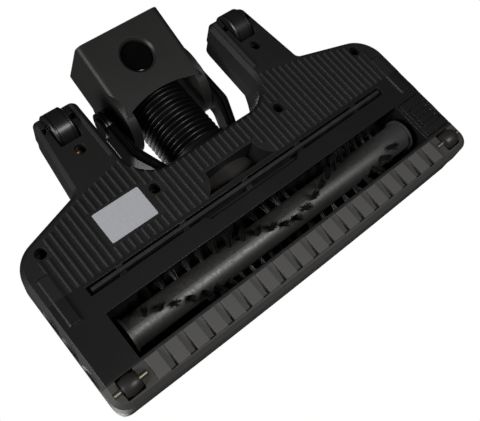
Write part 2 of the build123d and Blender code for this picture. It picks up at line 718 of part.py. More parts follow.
def brush_pulley():
    half = BELT_WIDTH / 2
    pulley = rod_x(BELT_X - half, BELT_X + half, BRUSH_Y, BRUSH_Z, BRUSH_PULLEY_R)
    for x in (BELT_X - half - PULLEY_FLANGE, BELT_X + half):
        pulley += rod_x(x, x + PULLEY_FLANGE, BRUSH_Y, BRUSH_Z, BRUSH_PULLEY_R + PULLEY_FLANGE + 0.2)
    return pulley - rod_x(BELT_X - BELT_WIDTH, BELT_X + BELT_WIDTH, BRUSH_Y, BRUSH_Z, STUB_R)


def tuft_angle(x, row):
    """Turn of a tuft about the brush's axis: rows that wind both ways from a rounded apex."""
    run = sqrt((x - TUFT_APEX_X) ** 2 + TUFT_APEX_ROUND ** 2) - TUFT_APEX_ROUND
    return TUFT_APEX_ANGLE + TUFT_TWIST * run - row * 360.0 / TUFT_ROWS


def bristle_tufts():
    """One six-sided solid for each tuft, standing on the core."""
    count = int((BRUSH_HALF - TUFT_END) / TUFT_PITCH)
    root = CORE_R + TUFT_SEAT
    length = BRISTLE_R - root
    tuft = extrude(RegularPolygon(TUFT_R, 6), amount=length)
    tufts = []
    for row in range(TUFT_ROWS):
        for i in range(-count, count + 1):
            x = i * TUFT_PITCH + row * TUFT_PITCH / TUFT_ROWS
            turn = 180.0 + tuft_angle(x, row)
            tufts.append(Pos(x, BRUSH_Y, BRUSH_Z) * Rot(turn, 0, 0) * Pos(0, 0, root) * tuft)
    return Compound(tufts)


def rear_wheel(x):
    """Rear wheel with a softened tread and a groove by each rim."""
    half = WHEEL_WIDTH / 2
    wheel = rod_x(x - half, x + half, WHEEL_Y, WHEEL_R, WHEEL_R)
    wheel = chamfer(wheel.edges().filter_by(GeomType.CIRCLE), 0.8)
    for side in (-1, 1):
        mid = x + side * (half - 2.0)
        ring = rod_x(mid - 0.4, mid + 0.4, WHEEL_Y, WHEEL_R, WHEEL_R + 1)
        wheel -= ring - rod_x(mid - 1, mid + 1, WHEEL_Y, WHEEL_R, WHEEL_R - 0.6)
    return wheel - rod_x(x - half, x + half, WHEEL_Y, WHEEL_R, WHEEL_AXLE_R + RUN_GAP)


def wheel_axle(x):
    half = WHEEL_WIDTH / 2 + WHEEL_CLEAR + FORK_SLOT - 0.1
    return rod_x(x - half, x + half, WHEEL_Y, WHEEL_R, WHEEL_AXLE_R)


def front_roller(x):
    """Barrel roller: thickest in the middle."""
    half = ROLLER_WIDTH / 2
    edges = [
        Line((-half, 0), (-half, ROLLER_R - 1.0)),
        ThreePointArc((-half, ROLLER_R - 1.0), (0, ROLLER_R), (half, ROLLER_R - 1.0)),
        Line((half, ROLLER_R - 1.0), (half, 0)),
        Line((half, 0), (-half, 0)),
    ]
    barrel = revolve(make_face(edges), Axis.X)
    bore = rod_x(-half, half, 0, 0, ROLLER_AXLE_R + RUN_GAP)
    return Pos(x, ROLLER_Y, ROLLER_R) * (barrel - bore)


def roller_axle(x):
    return rod_x(x - ROLLER_AXLE_HALF, x + ROLLER_AXLE_HALF, ROLLER_Y, ROLLER_R, ROLLER_AXLE_R)


def screws(places):
    """Screws in the sole's wells: a cross-recessed head and its shank, one solid for each place."""
    arm, slit = 0.7 * SCREW_HEAD_R, 0.14 * SCREW_HEAD_R
    solids = []
    for x, y in places:
        head = rod_z(x, y, COUNTERBORE_ROOF - SCREW_HEAD, COUNTERBORE_ROOF, SCREW_HEAD_R)
        recess = block(x - arm, x + arm, y - slit, y + slit, 0, COUNTERBORE_ROOF - 0.6 * SCREW_HEAD)
        recess += block(x - slit, x + slit, y - arm, y + arm, 0, COUNTERBORE_ROOF - 0.6 * SCREW_HEAD)
        solids.append(head - recess + rod_z(x, y, COUNTERBORE_ROOF, SCREW_TOP, SCREW_SHANK_R))
    return Compound(solids)


def yoke_edge(off):
    """Plan line of the yoke's arm, at a distance from its inner face: root, knee and pivot."""
    share = off / YOKE_THICKNESS
    root = (RING_R + YOKE_ROOT * share, RING_BACK - 1 + share * (ARM_ROOT_Y + 1 - RING_BACK))
    knee = (YOKE_X + off, YOKE_KNEE_Y + YOKE_ROOT / 2 * (1 - share))
    return [root, knee, (YOKE_X + off, PIVOT_Y)]


def yoke_band(inner, outer, sink):
    """A layer of the yoke's arm, with its own disc round the pivot."""
    near = FilletPolyline(*yoke_edge(inner), radius=YOKE_BEND)
    far = FilletPolyline(*yoke_edge(outer), radius=YOKE_BEND)
    face = make_face([near, Line(near @ 1, far @ 1), far, Line(far @ 0, near @ 0)])
    half = YOKE_HALF_HEIGHT - sink
    band = extrude(Pos(0, 0, AXIS_Z - half) * face, amount=2 * half)
    return band + rod_x(YOKE_X + inner, YOKE_X + outer, PIVOT_Y, AXIS_Z, LOBE_R - sink)


def yoke_arm():
    """One arm of the yoke: out from the ring, then back along the neck's side, with raised bands."""
    half = YOKE_HALF_HEIGHT - YOKE_BAND_DEPTH
    arm = block(SPIGOT_R + 1, RING_R + YOKE_ROOT, ARM_ROOT_Y, RING_BACK - 1, AXIS_Z - half, AXIS_Z + half)
    arm += yoke_band(0, YOKE_THICKNESS, YOKE_BAND_DEPTH)
    for inner, outer in YOKE_BANDS:
        arm += yoke_band(inner, outer, 0)
    return arm


def yoke():
    """The steering yoke: a ring that turns on the duct's spigot, and two arms that carry the neck."""
    ring = rod_y(0, RING_FRONT, RING_BACK, AXIS_Z, RING_R)
    ring += rod_y(0, RING_FRONT, RING_FRONT + 2.4, AXIS_Z, RING_R + 1.4)
    body = ring + both_sides(yoke_arm())
    body -= rod_y(0, RING_FRONT - 1, RING_BACK + 1, AXIS_Z, SPIGOT_R + RUN_GAP)
    return body - both_sides(rod_x(CHEEK_X, YOKE_X + 2 * YOKE_THICKNESS, PIVOT_Y, AXIS_Z, PIN_R))


def yoke_lead():
    """The motor's lead, clipped between two bands under the drive side's arm."""
    z = AXIS_Z - YOKE_HALF_HEIGHT + LEAD_R + 0.1
    root, knee, pivot = yoke_edge((YOKE_BANDS[0][1] + YOKE_BANDS[1][0]) / 2)
    path = FilletPolyline((*root, z), (*knee, z), (pivot[0], PIVOT_Y - 5, z), radius=YOKE_BEND)
    return sweep(Plane(origin=path @ 0, z_dir=path % 0) * Circle(LEAD_R), path=path)


def pivot_pin(side):
    outer_x = YOKE_X + YOKE_THICKNESS
    pin = rod_x(CHEEK_X + 0.5, outer_x, PIVOT_Y, AXIS_Z, PIN_R)
    head = rod_x(outer_x, outer_x + PIN_HEAD, PIVOT_Y, AXIS_Z, 1.4 * PIN_R)
    pin += chamfer(head.edges().filter_by(GeomType.CIRCLE).group_by(Axis.X)[-1], PIN_HEAD / 2)
    return pin if side > 0 else mirror(pin, about=Plane.YZ)


def on_neck(shape):
    """Place a shape drawn about the neck's pivot, with +Y out of the socket."""
    return Pos(0, PIVOT_Y, AXIS_Z) * Rot(NECK_TILT, 0, 0) * shape


def neck_section():
    """Box section of the neck, with long rounded edges."""
    face = make_face(Rectangle(2 * NECK_HALF, 2 * NECK_HALF_HEIGHT).edges())
    face = fillet(face.vertices().group_by(Axis.Y)[0], NECK_EDGE)
    return fillet(face.vertices().group_by(Axis.Y)[-1], NECK_ROUND)


def neck_housing():
    """Neck moulding: a box round the tube socket, with two cheeks that reach round the hose."""
    section = Plane.XZ * neck_section()
    body = extrude(section, amount=-NECK_LENGTH)
    lip = extrude(section, amount=NECK_LIP)
    body += lip & block(-NECK_HALF, NECK_HALF, -NECK_LIP, 0, -NECK_HALF_HEIGHT, 0)
    body += rod_x(-NECK_HALF, NECK_HALF, 0, 0, NECK_HALF_HEIGHT)
    front = -NECK_HALF_HEIGHT - NECK_LIP
    inside = NECK_HALF_HEIGHT - NECK_WALL
    body -= block(-CHEEK_X, CHEEK_X, front, SLEEVE_START, -inside, inside)
    body -= block(-CHEEK_X, CHEEK_X, front, 2, -inside - 1.2, 0)
    mouth_r = (NECK_HALF ** 2 + MOUTH_DIP ** 2) / (2 * MOUTH_DIP)
    mouth = rod_z(0, MOUTH_DIP - NECK_LIP - mouth_r, -2 * NECK_HALF_HEIGHT, -inside - 1.2, mouth_r)
    body -= mouth & block(-NECK_HALF, NECK_HALF, -2 * NECK_LIP, 0, -2 * NECK_HALF_HEIGHT, 0)
    body -= block(-CHEEK_X, CHEEK_X, front, SLEEVE_START + 2, 0, 2 * NECK_HALF_HEIGHT)
    body -= rod_y(0, 0, NECK_LENGTH, 0, SLEEVE_R)
    hole = BUTTON_R + BUTTON_GAP
    body -= rod_z(0, BUTTON_A, -2 * NECK_HALF_HEIGHT, -SLEEVE_R - 0.8, hole)
    flare = Cone(hole + BUTTON_LIP, hole, BUTTON_LIP)
    body -= Pos(0, BUTTON_A, BUTTON_LIP / 2 - NECK_HALF_HEIGHT) * flare
    body -= contact_place(NECK_LENGTH)
    body -= rod_x(-NECK_HALF - 1, NECK_HALF + 1, 0, 0, PIN_R + RUN_GAP)
    return on_neck(body)


def contact_place(end):
    """Room over the tube socket for the contact block, up to a given end."""
    low = SLEEVE_R + 0.8
    return block(-CONTACT_HALF, CONTACT_HALF, NECK_LENGTH - CONTACT_DEPTH, end, low, low + CONTACT_HEIGHT)


def contact_holes(end):
    z = SLEEVE_R + 0.8 + CONTACT_HEIGHT / 2
    return [rod_y(x, NECK_LENGTH - 6, end, z, CONTACT_PIN_R) for x in (-CONTACT_HALF / 2, CONTACT_HALF / 2)]


def socket_sleeve():
    """Liner of the tube socket."""
    sleeve = rod_y(0, SLEEVE_START, NECK_LENGTH, 0, SLEEVE_R) - rod_y(0, 0, NECK_LENGTH, 0, SOCKET_R)
    return on_neck(sleeve)


def contact_block():
    """Holder of the two contacts that meet the tube's."""
    return on_neck(contact_place(NECK_LENGTH - 1.5) - contact_holes(NECK_LENGTH))


def contact_pins():
    return Compound([on_neck(pin) for pin in contact_holes(NECK_LENGTH - 0.4)])


def release_button():
    """Round push button, set back in the neck's underside."""
    low = BUTTON_SET_BACK - NECK_HALF_HEIGHT
    cap = rod_z(0, BUTTON_A, low, low + BUTTON_HEIGHT, BUTTON_R)
    cap = fillet(cap.edges().filter_by(GeomType.CIRCLE).group_by(Axis.Z)[0], 1.2)
    return on_neck(cap)


def hose():
    """Corrugated suction hose from the yoke's ring to the tube socket, with one gentle bend."""
    inlet = (0, RING_BACK + 0.2, AXIS_Z)
    knee = (0, PIVOT_Y, AXIS_Z)
    outlet = on_neck(Pos(0, SLEEVE_START - 0.1, 0) * Sphere(1)).center()
    path = FilletPolyline(inlet, knee, (outlet.X, outlet.Y, outlet.Z), radius=HOSE_BEND)
    start = Plane(origin=path @ 0, z_dir=path % 0)
    body = sweep(start * Circle(HOSE_ROOT_R), path=path)
    rings = int(path.length / HOSE_PITCH)
    step = path.length / rings
    for i in range(rings):
        place = Plane(origin=path.position_at((i + 0.5) / rings), z_dir=path.tangent_at((i + 0.5) / rings))
        body += place * Cylinder(HOSE_R, step * 0.5)
    return body - sweep(start * Circle(HOSE_BORE), path=path)


def build_all():
    parts = {
        "base_shell": base_shell(),
        "top_cover": top_cover(),
        "suction_duct": suction_duct(),
        "wiper_strip": wiper_strip(),
        "motor": motor(),
        "motor_rotor": motor_rotor(),
        "motor_pulley": motor_pulley(),
        "drive_belt": drive_belt(),
        "drive_bush": bush(OPENING_HALF - 0.5, OPENING_HALF + 2.5),
        "brush_latch": brush_latch(),
        "latch_bush": bush(-LATCH_X - LATCH_WALL, -LATCH_X),
        "brush_core": brush_core(),
        "brush_shaft": brush_shaft(),
        "brush_pulley": brush_pulley(),
        "bristle_tufts": bristle_tufts(),
        "sole_screws": screws(screw_places()),
        "arm_screws": screws(arm_screw_places()),
        "yoke": yoke(),
        "yoke_lead": yoke_lead(),
        "hose": hose(),
        "neck_housing": neck_housing(),
        "socket_sleeve": socket_sleeve(),
        "contact_block": contact_block(),
        "contact_pins": contact_pins(),
        "release_button": release_button(),
    }
    for side, name in ((1, "left"), (-1, "right")):
        parts[f"rear_wheel_{name}"] = rear_wheel(side * WHEEL_X)
        parts[f"wheel_axle_{name}"] = wheel_axle(side * WHEEL_X)
        parts[f"front_roller_{name}"] = front_roller(side * ROLLER_X)
        parts[f"roller_axle_{name}"] = roller_axle(side * ROLLER_X)
        parts[f"pivot_pin_{name}"] = pivot_pin(side)
    return parts


os.makedirs("parts", exist_ok=True)
for node, shape in build_all().items():
    export_step(Pos(0, -Y_MID, 0) * shape, f"parts/{node}.step")
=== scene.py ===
# %% [markdown]
# # A vacuum cleaner's floor brush head, dressed in Blender
# The CAD model gives every rigid piece in its true place. This lesson loads it as a fixed frame, adds the
# pieces that solids tell poorly (bristles, a corrugated hose, a paper label), and gives each surface the
# finish of the real moulding, rubber or steel. Everything is in metres, in the frame of the CAD model:
# the head stands on its wheels at z = 0, its front edge looks along -Y and its drive end along +X.

import json
import math
import random

import bmesh
import bpy
from mathutils import Matrix, Vector


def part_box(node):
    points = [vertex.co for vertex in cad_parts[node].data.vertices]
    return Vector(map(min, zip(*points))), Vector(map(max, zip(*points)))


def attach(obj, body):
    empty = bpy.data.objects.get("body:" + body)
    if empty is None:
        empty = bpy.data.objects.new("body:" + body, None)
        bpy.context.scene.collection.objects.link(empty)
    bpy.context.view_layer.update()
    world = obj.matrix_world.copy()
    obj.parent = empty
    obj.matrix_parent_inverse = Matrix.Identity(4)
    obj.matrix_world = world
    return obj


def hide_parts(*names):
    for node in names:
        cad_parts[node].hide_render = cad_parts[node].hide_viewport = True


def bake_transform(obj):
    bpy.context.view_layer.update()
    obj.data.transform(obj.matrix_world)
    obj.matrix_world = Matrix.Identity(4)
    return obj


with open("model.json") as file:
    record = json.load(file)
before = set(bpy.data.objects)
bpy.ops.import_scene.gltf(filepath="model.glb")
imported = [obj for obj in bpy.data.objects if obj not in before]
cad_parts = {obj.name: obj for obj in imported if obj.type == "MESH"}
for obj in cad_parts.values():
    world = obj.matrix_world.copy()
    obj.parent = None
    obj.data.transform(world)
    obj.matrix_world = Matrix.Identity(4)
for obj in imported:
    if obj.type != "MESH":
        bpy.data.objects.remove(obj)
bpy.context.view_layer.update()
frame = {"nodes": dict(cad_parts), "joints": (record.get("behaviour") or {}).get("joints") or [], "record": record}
MM = 0.001

# %% [markdown]
# ## The camera
# The photograph looks at the underside, so its camera is below the floor and looks up. The place and the
# turn below were fitted to points whose positions are known on the head: the six screws, the axles and the
# ends of the brush opening. The three rows are the picture's right, its down and the viewing direction. The
# focal length is in pixels of a picture that is 480 wide, and becomes a lens for a 36 mm sensor.

# %% Camera
PICTURE_WIDTH = 480
FOCAL_PIXELS = 676.37
SENSOR_WIDTH = 36.0
NEAR_CLIP = 0.01
VIEW_RIGHT = Vector((-0.75671, -0.63623, -0.15031))
VIEW_DOWN = Vector((0.53592, -0.73539, 0.41472))
VIEW_AHEAD = Vector((-0.37439, 0.23327, 0.89745))
CAMERA_PLACE = Vector((0.15917, -0.13932, -0.33634))


def make_camera():
    data = bpy.data.cameras.new("photo_camera")
    data.sensor_fit = "HORIZONTAL"
    data.sensor_width = SENSOR_WIDTH
    data.lens = SENSOR_WIDTH * FOCAL_PIXELS / PICTURE_WIDTH
    data.clip_start = NEAR_CLIP
    camera = bpy.data.objects.new("photo_camera", data)
    bpy.context.scene.collection.objects.link(camera)
    turn = Matrix((VIEW_RIGHT, -VIEW_DOWN, -VIEW_AHEAD)).transposed()
    camera.matrix_world = Matrix.Translation(CAMERA_PLACE) @ turn.to_4x4()
    bpy.context.scene.camera = camera
    return camera


camera = make_camera()
print("camera lens in mm:", round(camera.data.lens, 2))

# %% [markdown]
# ## Shader maths as plain expressions
# A finish is easier to read as a formula than as a web of nodes. The small class `Value` wraps a socket, and
# its operators add Math nodes, so that `1 - mask * 0.4` works as written. Any other node comes from
# `Nodes.node`, which takes the node's type, its settings and what goes into its sockets. `Nodes` serves any
# node tree, and `Finish` is the tree of one material.


# %% Value, Nodes and Finish
class Value:
    """A socket that takes part in arithmetic."""

    def __init__(self, nodes, socket):
        self.nodes = nodes
        self.socket = socket

    def math(self, operation, first, second):
        settings = {"operation": operation}
        return self.nodes.node("ShaderNodeMath", settings, {0: first, 1: second})

    def __add__(self, other):
        return self.math("ADD", self, other)

    def __sub__(self, other):
        return self.math("SUBTRACT", self, other)

    def __rsub__(self, other):
        return self.math("SUBTRACT", other, self)

    def __mul__(self, other):
        return self.math("MULTIPLY", self, other)

    def __abs__(self):
        return self.math("ABSOLUTE", self, 0)

    __radd__ = __add__
    __rmul__ = __mul__


class Nodes:
    """A node tree, and the means to add to it."""

    def __init__(self, tree):
        self.tree = tree

    def plug(self, socket, value):
        if isinstance(value, Value):
            self.tree.links.new(value.socket, socket)
        else:
            socket.default_value = value

    def node(self, kind, settings, inputs, output=0):
        made = self.tree.nodes.new(kind)
        for key, setting in settings.items():
            setattr(made, key, setting)
        for key, value in inputs.items():
            self.plug(made.inputs[key], value)
        return Value(self, made.outputs[output])

    def ramp(self, value, low, high):
        inputs = {"Value": value, "From Min": low, "From Max": high}
        return self.node("ShaderNodeMapRange", {"clamp": True}, inputs)

    def dot(self, first, second):
        settings = {"operation": "DOT_PRODUCT"}
        return self.node("ShaderNodeVectorMath", settings, {0: first, 1: second}, "Value")


class Finish(Nodes):
    """One material: its Principled shader and the nodes that vary it."""

    def __init__(self, name):
        self.material = bpy.data.materials.new(name)
        self.material.use_nodes = True
        super().__init__(self.material.node_tree)
        self.shader = self.tree.nodes["Principled BSDF"]

    def set(self, **values):
        for name, value in values.items():
            self.plug(self.shader.inputs[name.replace("_", " ")], value)
        return self

    def place(self):
        return self.node("ShaderNodeTexCoord", {}, {}, "Object")

    def along(self, axis):
        return self.node("ShaderNodeSeparateXYZ", {}, {0: self.place()}, axis)

    def noise(self, size, detail=3.0, stretch=(1, 1, 1)):
        scaled = self.node("ShaderNodeMapping", {}, {"Vector": self.place(), "Scale": stretch})
        inputs = {"Vector": scaled, "Scale": 1 / size, "Detail": detail}
        return self.node("ShaderNodeTexNoise", {}, inputs, "Fac")

    def tint(self, mask, dark, light):
        dark, light = [(*c, 1) if isinstance(c, tuple) else c for c in (dark, light)]
        return self.node("ShaderNodeMix", {"data_type": "RGBA"}, {0: mask, 6: dark, 7: light}, 2)


print("shader helpers ready")

# %% [markdown]
# ## Rounded edges, and pale edges that are worn and lit
# A mould leaves every edge slightly round, and use rubs those edges smooth and pale; their paleness is partly
# a painted highlight too. The Bevel node reads the surface a little way round each point and returns the
# normal of a rounded edge. Where that normal differs from the true one there is an edge, so their dot product
# also gives the mask for wear and for the painted edge highlight.


# %% Edges
def round_edges(finish, radius):
    """Normal with rounded edges, and a mask that is 1 on the edges."""
    rounded = finish.node("ShaderNodeBevel", {"samples": 6}, {"Radius": radius})
    true = finish.node("ShaderNodeNewGeometry", {}, {}, "True Normal")
    return rounded, finish.ramp(1 - finish.dot(rounded, true), 0.02, 0.3)


def bump(finish, height, distance, strength, normal=None):
    inputs = {"Height": height, "Distance": distance, "Strength": strength}
    if normal:
        inputs["Normal"] = normal
    return finish.node("ShaderNodeBump", {}, inputs)


print("edge helpers ready")

# %% [markdown]
# ## Moulded plastic
# The casing is black plastic with a fine spark-eroded grain. Up close it is a dense field of tiny pits, so a
# small noise drives the bump, and a much larger one shifts the gloss where hands and floors have polished
# it. The edges get paler and shinier by the edge mask: partly wear, partly a painted highlight. One function
# serves all the black pieces. The sole has three masks more: its mould was polished between the ribs and the
# front pads, so the grain ends there; the tops of ribs and pads, which stand lowest, are tinted paler, partly
# rubbed by the floor and partly a painted highlight; and the front lip gets a painted light, strongest on its
# pads. The brush's core is glossier and speckled, and towards the latch's end it is painted dull and nearly
# black, a painted shade.


# %% Plastic finishes
# Each pair says where a mask leaves 0 and where it reaches 1, along one axis.
BAND_FRONT_Y = (-83.6 * MM, -83.0 * MM)
BAND_BACK_Y = (-33.8 * MM, -34.4 * MM)
# Tops of the ribs and pads, tinted paler: partly wear, partly a painted highlight.
TOPS_Z = (4.8 * MM, 4.2 * MM)
TOPS_X = (118.0 * MM, 117.0 * MM)
# The front lip's band, which gets a painted light.
LIP_Y = (-84.2 * MM, -84.8 * MM)
# Along X, where the brush's core turns to a painted shade at the latch's end.
CORE_SHADE_X = (-72 * MM, -98 * MM)
LIP_PAINTED_LIGHT = (0.085, 0.083, 0.078)
# Near-black colour of that painted shade.
PAINTED_SHADE_BLACK = (0.004, 0.004, 0.004)


def polished_band(finish):
    """1 on the smooth part of the sole, which reaches from the front pads to the ribs."""
    y = finish.along("Y")
    return finish.ramp(y, *BAND_FRONT_Y) * finish.ramp(y, *BAND_BACK_Y)


def worn_and_lit_tops(finish):
    """1 on the tops of the ribs and the front pads, which are tinted paler: partly wear, partly a painted
    highlight.
    """
    low = finish.ramp(finish.along("Z"), *TOPS_Z)
    return low * finish.ramp(abs(finish.along("X")), *TOPS_X)


def painted_lip_light(finish, tops):
    """Share of painted light on the front lip: most on its pads, less in the pockets between them."""
    return finish.ramp(finish.along("Y"), *LIP_Y) * (0.5 + tops * 0.4)


def moulded_plastic(name, colour, roughness, wear_and_sheen=0.5, depth=0.5, edge=0.35 * MM, sole=False):
    finish = Finish(name)
    rounded, edge_mask = round_edges(finish, edge)
    pits = finish.noise(0.25 * MM, 2.0)
    clouds = finish.noise(28 * MM, 4.0)
    dust = finish.ramp(finish.noise(3 * MM, 6.0), 0.55, 0.85)
    scuffs = finish.ramp(finish.noise(6 * MM, 3.0, (1, 0.12, 1)), 0.62, 0.75)
    smooth = polished_band(finish) if sole else 0.0
    tops_worn_and_lit = worn_and_lit_tops(finish) if sole else 0.0
    pale = tuple(min(1, 2.2 * c + 0.012) for c in colour)
    # The edge and tops parts of this mask are partly wear, partly a painted highlight.
    mask = (edge_mask * 0.7 + scuffs * 0.16) * wear_and_sheen + dust * 0.12 + clouds * 0.14 + tops_worn_and_lit * 0.8
    base = finish.tint(mask * (1 - smooth * 0.7), colour, pale)
    # The front lip is tinted paler: a painted light, strongest on its pads.
    if sole:
        base = finish.tint(painted_lip_light(finish, tops_worn_and_lit), base, LIP_PAINTED_LIGHT)
    finish.set(
        Base_Color=base,
        Roughness=roughness + clouds * 0.10 - edge_mask * 0.10 - scuffs * wear_and_sheen * 0.08 - smooth * 0.14,
        Normal=bump(finish, pits * (1 - smooth * 0.8), 0.06 * MM, depth, rounded),
        Specular_IOR_Level=0.32,
    )
    return finish


def gloss_plastic(name, colour, roughness, streak=(1, 1, 1), speckle=0.35, shine=0.4, shaded_end=None):
    finish = Finish(name)
    rounded, edge_mask = round_edges(finish, 0.4 * MM)
    lines = finish.noise(1.2 * MM, 4.0, streak)
    clouds = finish.noise(16 * MM, 3.0)
    pale = tuple(min(1, 1.6 * c + 0.01) for c in colour)
    # The pale edges are partly wear, partly a painted highlight.
    base = finish.tint(lines * speckle + clouds * 0.25 + edge_mask * 0.3, colour, pale)
    # Painted shade: the core is made dark and dull towards its latch's end.
    end_shade = finish.ramp(finish.along("X"), *shaded_end) if shaded_end else 0.0
    finish.set(
        Base_Color=finish.tint(end_shade * 0.9, base, PAINTED_SHADE_BLACK) if shaded_end else base,
        Roughness=roughness + lines * speckle * 0.3 + clouds * 0.06 + end_shade * 0.35,
        Normal=bump(finish, lines, 0.04 * MM, speckle * 0.8, rounded),
        Specular_IOR_Level=shine,
    )
    return finish


PLASTICS = {
    "shell_plastic": moulded_plastic(
        "shell_plastic", (0.0075, 0.0075, 0.0072), 0.50, edge=0.5 * MM, sole=True
    ),
    "cover_plastic": moulded_plastic("cover_plastic", (0.014, 0.014, 0.0137), 0.36, wear_and_sheen=0.3),
    # The duct's plastic is paler than the shell's: a painted light, so its deep inside reads as lit.
    "duct_plastic": moulded_plastic("duct_plastic", (0.030, 0.028, 0.026), 0.30, wear_and_sheen=0.2, depth=0.1),
    "yoke_plastic": moulded_plastic("yoke_plastic", (0.0025, 0.0025, 0.0025), 0.30, wear_and_sheen=0.7, depth=0.15),
    "neck_plastic": moulded_plastic("neck_plastic", (0.013, 0.013, 0.0122), 0.40, wear_and_sheen=0.35),
    "sleeve_plastic": moulded_plastic("sleeve_plastic", (0.016, 0.016, 0.016), 0.46, wear_and_sheen=0.3),
    "pulley_plastic": moulded_plastic("pulley_plastic", (0.09, 0.09, 0.09), 0.45, wear_and_sheen=0.3),
    "pin_plastic": moulded_plastic("pin_plastic", (0.009, 0.009, 0.009), 0.38, wear_and_sheen=0.4),
    "roller_plastic": gloss_plastic("roller_plastic", (0.016, 0.015, 0.014), 0.34, (0.3, 1, 1)),
    "wheel_plastic": gloss_plastic("wheel_plastic", (0.006, 0.006, 0.006), 0.26, (3, 0.5, 0.5)),
    "core_plastic": gloss_plastic(
        "core_plastic", (0.010, 0.0093, 0.0080), 0.28, (0.8, 0.8, 0.8), 1.2, 1.0, CORE_SHADE_X
    ),
    "button_gloss": gloss_plastic("button_gloss", (0.001, 0.001, 0.001), 0.05, speckle=0.02, shine=0.2),
}
print("plastics:", ", ".join(PLASTICS))

# %% [markdown]
# ## Rubber, steel and brass
# Rubber is duller than plastic and blooms grey in patches. The axles are ground steel: very fine lines run
# round them, so a noise that is squeezed along X gives the lines, and it moves both gloss and bump. The
# bushes and the plated screws are brass, with tarnish in cloudy patches.


# %% Rubber and metal finishes
def rubber(name, colour, roughness, chalk=0.5):
    finish = Finish(name)
    bloom = finish.ramp(finish.noise(7 * MM, 5.0), 0.45, 0.8)
    skin = finish.noise(0.3 * MM, 2.0)
    pale = tuple(2.0 * c + 0.012 for c in colour)
    finish.set(
        Base_Color=finish.tint(bloom * chalk, colour, pale),
        Roughness=roughness + bloom * 0.14,
        Normal=bump(finish, skin, 0.04 * MM, 0.3),
    )
    return finish


def turned_metal(name, colour, roughness, lines=(8, 0.4, 0.4), tarnish=0.3):
    finish = Finish(name)
    rounded, edge_mask = round_edges(finish, 0.15 * MM)
    grooves = finish.noise(1.0 * MM, 3.0, lines)
    clouds = finish.ramp(finish.noise(5 * MM, 4.0), 0.4, 0.75)
    dull = tuple(0.55 * c for c in colour)
    finish.set(
        Base_Color=finish.tint(clouds * tarnish, colour, dull),
        Roughness=roughness + grooves * 0.14 + clouds * 0.12 - edge_mask * 0.06,
        Normal=bump(finish, grooves, 0.03 * MM, 0.4, rounded),
        Metallic=1.0,
    )
    return finish


OTHERS = {
    "wiper_rubber": rubber("wiper_rubber", (0.008, 0.008, 0.008), 0.60),
    "belt_rubber": rubber("belt_rubber", (0.012, 0.012, 0.012), 0.66),
    "lead_rubber": rubber("lead_rubber", (0.007, 0.007, 0.007), 0.26),
    "hose_rubber": rubber("hose_rubber", (0.0015, 0.0015, 0.0015), 0.34, 0.08),
    "motor_steel": turned_metal("motor_steel", (0.55, 0.55, 0.54), 0.34),
    "rotor_steel": turned_metal("rotor_steel", (0.35, 0.33, 0.31), 0.45),
    "axle_steel": turned_metal("axle_steel", (0.30, 0.27, 0.215), 0.36),
    "bush_brass": turned_metal("bush_brass", (0.08, 0.065, 0.05), 0.50),
    "screw_brass": turned_metal("screw_brass", (0.66, 0.46, 0.24), 0.34, (1, 1, 1), 0.6),
    "screw_black": turned_metal("screw_black", (0.035, 0.034, 0.033), 0.40, (1, 1, 1), 0.4),
}
print("others:", ", ".join(OTHERS))

# %% [markdown]
# ## Finishes on the CAD nodes
# Each node of the imported model names a material slot in its record. The same names are the keys above, so
# one loop gives every solid its finish. Only the brush's shaft differs: it takes the finish of the blackened
# screws, and is as dark as they are. Bristles and hose are replaced by new pieces further down.


# %% Dress the solids
def bristle_finish():
    finish = Finish("bristle")
    shade = finish.noise(2.5 * MM, 2.0)
    finish.set(
        Base_Color=finish.tint(shade, (0.003, 0.003, 0.003), (0.018, 0.0175, 0.0165)),
        Roughness=0.40 + shade * 0.12,
        Specular_IOR_Level=0.3,
    )
    return finish


FINISHES = {**PLASTICS, **OTHERS, "bristle": bristle_finish()}
DARKER_FINISH = {"brush_shaft": "screw_black"}
for subpart in frame["record"]["subparts"]:
    node = frame["nodes"][subpart["node"]]
    slot = DARKER_FINISH.get(subpart["node"], subpart["material_slot"])
    node.data.materials.clear()
    node.data.materials.append(FINISHES[slot].material)
print("dressed solids:", len(frame["nodes"]))


# %% [markdown]
# ## From bmesh to a riding piece
# Every new piece is shaped in a bmesh, in its final place, and then handed over once: the mesh is stored, the
# normals are turned outwards, the material is set, and the piece is told which body it rides on. A piece
# that bends between two bodies rides on none.


# %% Hand-over helper
def finish_piece(bm, name, body, finish, smooth_angle=None):
    bmesh.ops.remove_doubles(bm, verts=bm.verts, dist=1e-7)
    bmesh.ops.recalc_face_normals(bm, faces=bm.faces)
    mesh = bpy.data.meshes.new(name)
    bm.to_mesh(mesh)
    bm.free()
    if smooth_angle is not None:
        mesh.shade_smooth()
        mesh.set_sharp_from_angle(angle=math.radians(smooth_angle))
    mesh.materials.append(finish.material)
    piece = bpy.data.objects.new(name, mesh)
    bpy.context.scene.collection.objects.link(piece)
    if body:
        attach(piece, body)
    print(name, "has", len(mesh.polygons), "faces")
    return piece


# %% [markdown]
# ## The bristle tufts
# On the real brush each tuft is a bundle of a few dozen nylon threads, pressed into a hole of the core. The
# CAD model has one six-sided rod for each tuft, in its true place. Here those rods are read as islands of
# their node's mesh: the end near the brush's axis is the root and the far end is the tip. A few bundles of
# thin cones, splayed by a seeded random, are then copied onto them in turn.


